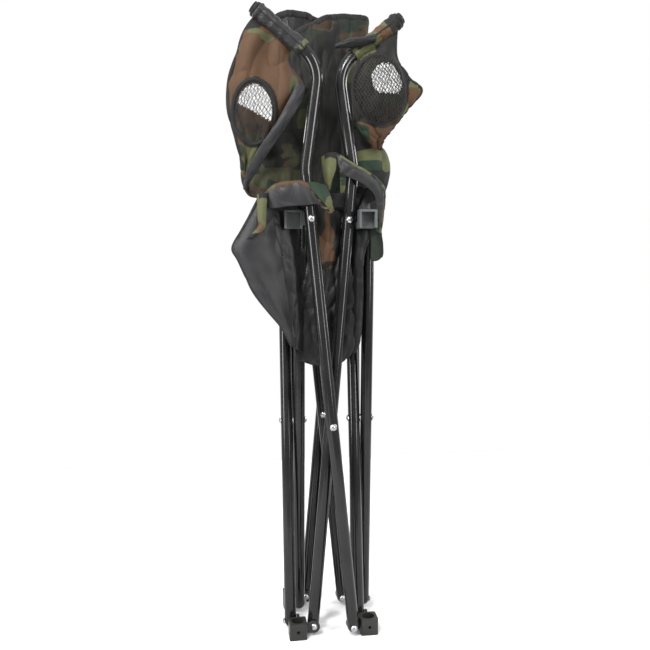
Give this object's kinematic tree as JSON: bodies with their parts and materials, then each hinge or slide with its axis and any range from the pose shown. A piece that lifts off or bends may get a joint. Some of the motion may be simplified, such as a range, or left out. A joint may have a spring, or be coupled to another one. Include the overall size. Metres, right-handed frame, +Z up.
{
  "type": "folding camp armchair",
  "caption": "Folded camp armchair with crossed steel tubes, plastic feet and hubs, patterned cloth seat and back, and arm rests with net cup holders.",
  "frame": {"origin": "on the ground, in the middle of the folded chair's box", "axes": "+Z up, the chair's front faces -Y, +X towards the right arm as seen from the front"},
  "size_m": [0.32, 0.1584, 1.016],
  "materials": {
    "tube_paint": "semi-gloss black powder coat",
    "plastic": "moulded dark grey",
    "zinc": "bright zinc plate",
    "camo_cloth": "coated woven polyester, four-colour woodland pattern",
    "lining": "dark grey coated underside of the cloth",
    "piping": "black bound edge",
    "net": "open black net"
  },
  "bodies": {
    "rear_left": {"foot_rear_left": "plastic", "post_left": "tube_paint", "post_cap_left": "plastic", "post_pin_left": "zinc", "rivets_foot_rear_left": "zinc", "back_panel": "camo_cloth", "back_sleeve_left": "camo_cloth"},
    "left_inner": {"tube_left_inner": "tube_paint"},
    "left_outer": {"tube_left_outer": "tube_paint", "rivet_left_cross": "zinc", "washer_left_cross": "zinc"},
    "front_left_foot": {"foot_front_left": "plastic", "rivets_foot_front_left": "zinc"},
    "front_left_hub": {"hub_front_left": "plastic", "rivets_hub_front_left": "zinc"},
    "rear_left_hub": {"hub_rear_left": "plastic", "rivets_hub_rear_left": "zinc"},
    "front_inner": {"tube_front_inner": "tube_paint", "arm_plug_right": "plastic", "bar_sleeve_right": "lining"},
    "front_outer": {"tube_front_outer": "tube_paint", "rivet_front_cross": "zinc", "washer_front_cross": "zinc", "arm_plug_left": "plastic", "bar_sleeve_left": "lining"},
    "front_right_foot": {"foot_front_right": "plastic", "rivets_foot_front_right": "zinc"},
    "front_right_hub": {"hub_front_right": "plastic", "rivets_hub_front_right": "zinc"},
    "rear_outer": {"tube_rear_outer": "tube_paint", "rivet_rear_cross": "zinc", "washer_rear_cross": "zinc"},
    "rear_inner": {"tube_rear_inner": "tube_paint"},
    "rear_right": {"foot_rear_right": "plastic", "rivets_foot_rear_right": "zinc", "post_right": "tube_paint", "post_cap_right": "plastic", "post_pin_right": "zinc", "back_sleeve_right": "camo_cloth"},
    "rear_right_hub": {"hub_rear_right": "plastic", "rivets_hub_rear_right": "zinc"},
    "right_outer": {"tube_right_outer": "tube_paint", "rivet_right_cross": "zinc", "washer_right_cross": "zinc"},
    "right_inner": {"tube_right_inner": "tube_paint"},
    "back_edge": {"back_edge": "piping"},
    "seat_front": {"seat_front": "lining"},
    "seat_front_edge": {"seat_front_edge": "piping"},
    "seat_rear": {"seat_rear": "camo_cloth"},
    "seat_rear_edge": {"seat_rear_edge": "piping"},
    "arm_left": {"arm_strap_left": "camo_cloth"},
    "arm_left_front": {"arm_panel_left": "camo_cloth", "cup_rim_left": "piping", "cup_net_left": "net"},
    "arm_right": {"arm_strap_right": "camo_cloth"},
    "arm_right_front": {"arm_panel_right": "camo_cloth", "cup_rim_right": "piping", "cup_net_right": "net"}
  },
  "joints": [
    {"name": "fold", "type": "hinge", "parent": "rear_left", "child": "left_inner", "pos_m": [-0.0459, 0.03115, 0.015], "axis": [1, 0, 0], "range_deg": [0, 37]},
    {"name": "left_cross", "type": "hinge", "parent": "left_inner", "child": "left_outer", "pos_m": [-0.05615, 0, 0.3385], "axis": [-1, 0, 0], "range_deg": [0, 74]},
    {"name": "left_front_foot", "type": "hinge", "parent": "left_outer", "child": "front_left_foot", "pos_m": [-0.0664, -0.03115, 0.015], "axis": [1, 0, 0], "range_deg": [0, 37]},
    {"name": "left_front_hub", "type": "hinge", "parent": "left_inner", "child": "front_left_hub", "pos_m": [-0.0459, -0.03115, 0.66201], "axis": [-1, 0, 0], "range_deg": [0, 37]},
    {"name": "left_rear_hub", "type": "hinge", "parent": "left_outer", "child": "rear_left_hub", "pos_m": [-0.0664, 0.03115, 0.66201], "axis": [1, 0, 0], "range_deg": [0, 37]},
    {"name": "front_left_foot_pivot", "type": "hinge", "parent": "front_left_foot", "child": "front_inner", "pos_m": [-0.03115, -0.0459, 0.015], "axis": [0, 1, 0], "range_deg": [0, 37]},
    {"name": "front_cross", "type": "hinge", "parent": "front_inner", "child": "front_outer", "pos_m": [0, -0.05615, 0.3385], "axis": [0, -1, 0], "range_deg": [0, 74]},
    {"name": "front_right_foot_pivot", "type": "hinge", "parent": "front_outer", "child": "front_right_foot", "pos_m": [0.03115, -0.0664, 0.015], "axis": [0, 1, 0], "range_deg": [0, 37]},
    {"name": "front_right_hub_pivot", "type": "hinge", "parent": "front_inner", "child": "front_right_hub", "pos_m": [0.03115, -0.0459, 0.66201], "axis": [0, -1, 0], "range_deg": [0, 37]},
    {"name": "rear_left_foot_pivot", "type": "hinge", "parent": "rear_left", "child": "rear_outer", "pos_m": [-0.03115, 0.0664, 0.015], "axis": [0, 1, 0], "range_deg": [0, 37]},
    {"name": "rear_cross", "type": "hinge", "parent": "rear_outer", "child": "rear_inner", "pos_m": [0, 0.05615, 0.3385], "axis": [0, -1, 0], "range_deg": [0, 74]},
    {"name": "rear_right_foot_pivot", "type": "hinge", "parent": "rear_inner", "child": "rear_right", "pos_m": [0.03115, 0.0459, 0.015], "axis": [0, 1, 0], "range_deg": [0, 37]},
    {"name": "rear_right_hub_pivot", "type": "hinge", "parent": "rear_outer", "child": "rear_right_hub", "pos_m": [0.03115, 0.0664, 0.66201], "axis": [0, -1, 0], "range_deg": [0, 37]},
    {"name": "right_foot_pivot", "type": "hinge", "parent": "rear_right", "child": "right_outer", "pos_m": [0.0664, 0.03115, 0.015], "axis": [1, 0, 0], "range_deg": [0, 37]},
    {"name": "right_cross", "type": "hinge", "parent": "right_outer", "child": "right_inner", "pos_m": [0.05615, 0, 0.3385], "axis": [-1, 0, 0], "range_deg": [0, 74]},
    {"name": "back_spread", "type": "slide", "parent": "rear_left", "child": "back_edge", "axis": [1, 0, 0], "range_m": [0, 0.37683]},
    {"name": "seat_rear_swing", "type": "hinge", "parent": "rear_left_hub", "child": "seat_rear", "pos_m": [-0.03, 0.024, 0.67201], "axis": [-1, 0, 0], "range_deg": [0, 90]},
    {"name": "seat_rear_spread", "type": "slide", "parent": "seat_rear", "child": "seat_rear_edge", "axis": [1, 0, 0], "range_m": [0, 0.37683]},
    {"name": "seat_front_swing", "type": "hinge", "parent": "front_left_hub", "child": "seat_front", "pos_m": [-0.03, -0.02715, 0.67201], "axis": [1, 0, 0], "range_deg": [0, 90]},
    {"name": "seat_front_spread", "type": "slide", "parent": "seat_front", "child": "seat_front_edge", "axis": [1, 0, 0], "range_m": [0, 0.37683]},
    {"name": "arm_left_swing", "type": "hinge", "parent": "rear_left", "child": "arm_left", "pos_m": [-0.05715, 0.05715, 0.715], "axis": [0.8102, -0.5066, -0.2949], "range_deg": [0, 66.89]},
    {"name": "arm_left_spread", "type": "slide", "parent": "arm_left", "child": "arm_left_front", "axis": [0.4429, -0.59, 0.6751], "range_m": [0, 0.29303]},
    {"name": "arm_right_swing", "type": "hinge", "parent": "rear_right", "child": "arm_right", "pos_m": [0.05715, 0.05715, 0.715], "axis": [0.8298, 0.4693, 0.302], "range_deg": [0, 70.97]},
    {"name": "arm_right_spread", "type": "slide", "parent": "arm_right", "child": "arm_right_front", "axis": [-0.47, -0.5205, 0.7129], "range_m": [0, 0.28402]}
  ],
  "couplings": [
    {"joint": "left_cross", "follows": "fold", "ratio": 2},
    {"joint": "left_front_foot", "follows": "fold", "ratio": 1},
    {"joint": "left_front_hub", "follows": "fold", "ratio": 1},
    {"joint": "left_rear_hub", "follows": "fold", "ratio": 1},
    {"joint": "front_left_foot_pivot", "follows": "fold", "ratio": 1},
    {"joint": "front_cross", "follows": "fold", "ratio": 2},
    {"joint": "front_right_foot_pivot", "follows": "fold", "ratio": 1},
    {"joint": "front_right_hub_pivot", "follows": "fold", "ratio": 1},
    {"joint": "rear_left_foot_pivot", "follows": "fold", "ratio": 1},
    {"joint": "rear_cross", "follows": "fold", "ratio": 2},
    {"joint": "rear_right_foot_pivot", "follows": "fold", "ratio": 1},
    {"joint": "rear_right_hub_pivot", "follows": "fold", "ratio": 1},
    {"joint": "right_foot_pivot", "follows": "fold", "ratio": 1},
    {"joint": "right_cross", "follows": "fold", "ratio": 2},
    {"joint": "back_spread", "follows": "fold", "m_per_rad": 0.58354},
    {"joint": "seat_rear_swing", "follows": "fold", "ratio": 2.4324},
    {"joint": "seat_rear_spread", "follows": "fold", "m_per_rad": 0.58354},
    {"joint": "seat_front_swing", "follows": "fold", "ratio": 2.4324},
    {"joint": "seat_front_spread", "follows": "fold", "m_per_rad": 0.58354},
    {"joint": "arm_left_swing", "follows": "fold", "ratio": 1.8079},
    {"joint": "arm_left_spread", "follows": "fold", "m_per_rad": 0.45376},
    {"joint": "arm_right_swing", "follows": "fold", "ratio": 1.9182},
    {"joint": "arm_right_spread", "follows": "fold", "m_per_rad": 0.43981}
  ]
}
